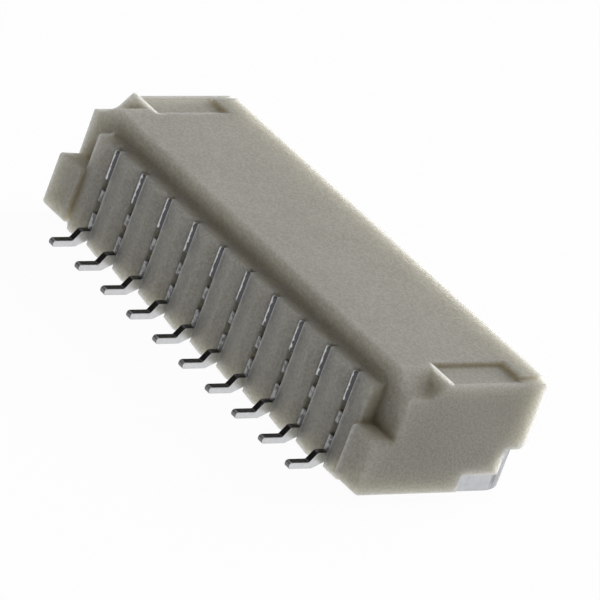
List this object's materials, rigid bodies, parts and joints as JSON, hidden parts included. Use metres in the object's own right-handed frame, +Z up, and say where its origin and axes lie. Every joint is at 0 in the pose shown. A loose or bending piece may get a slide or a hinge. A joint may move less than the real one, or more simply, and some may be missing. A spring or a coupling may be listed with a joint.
{
  "type": "pin header",
  "caption": "Side-entry surface-mount pin header: a shrouded nylon housing with one row of tinned gull-wing contacts behind, a plug cavity in front and a solder tab at each end.",
  "frame": {"origin": "on the board plane, under the middle of the header's bounding box", "axes": "+X along the row of contacts, +Y towards the mating front, +Z up from the board"},
  "size_m": [0.012, 0.0052, 0.0029],
  "materials": {
    "housing": "matt, natural nylon",
    "contact": "bright tin plating over copper alloy",
    "tab": "bright tin plating over copper alloy"
  },
  "bodies": {
    "root": {"housing": "housing", "contact_1": "contact", "contact_2": "contact", "contact_3": "contact", "contact_4": "contact", "contact_5": "contact", "contact_6": "contact", "contact_7": "contact", "contact_8": "contact", "contact_9": "contact", "contact_10": "contact", "left_tab": "tab", "right_tab": "tab"}
  },
  "joints": []
}
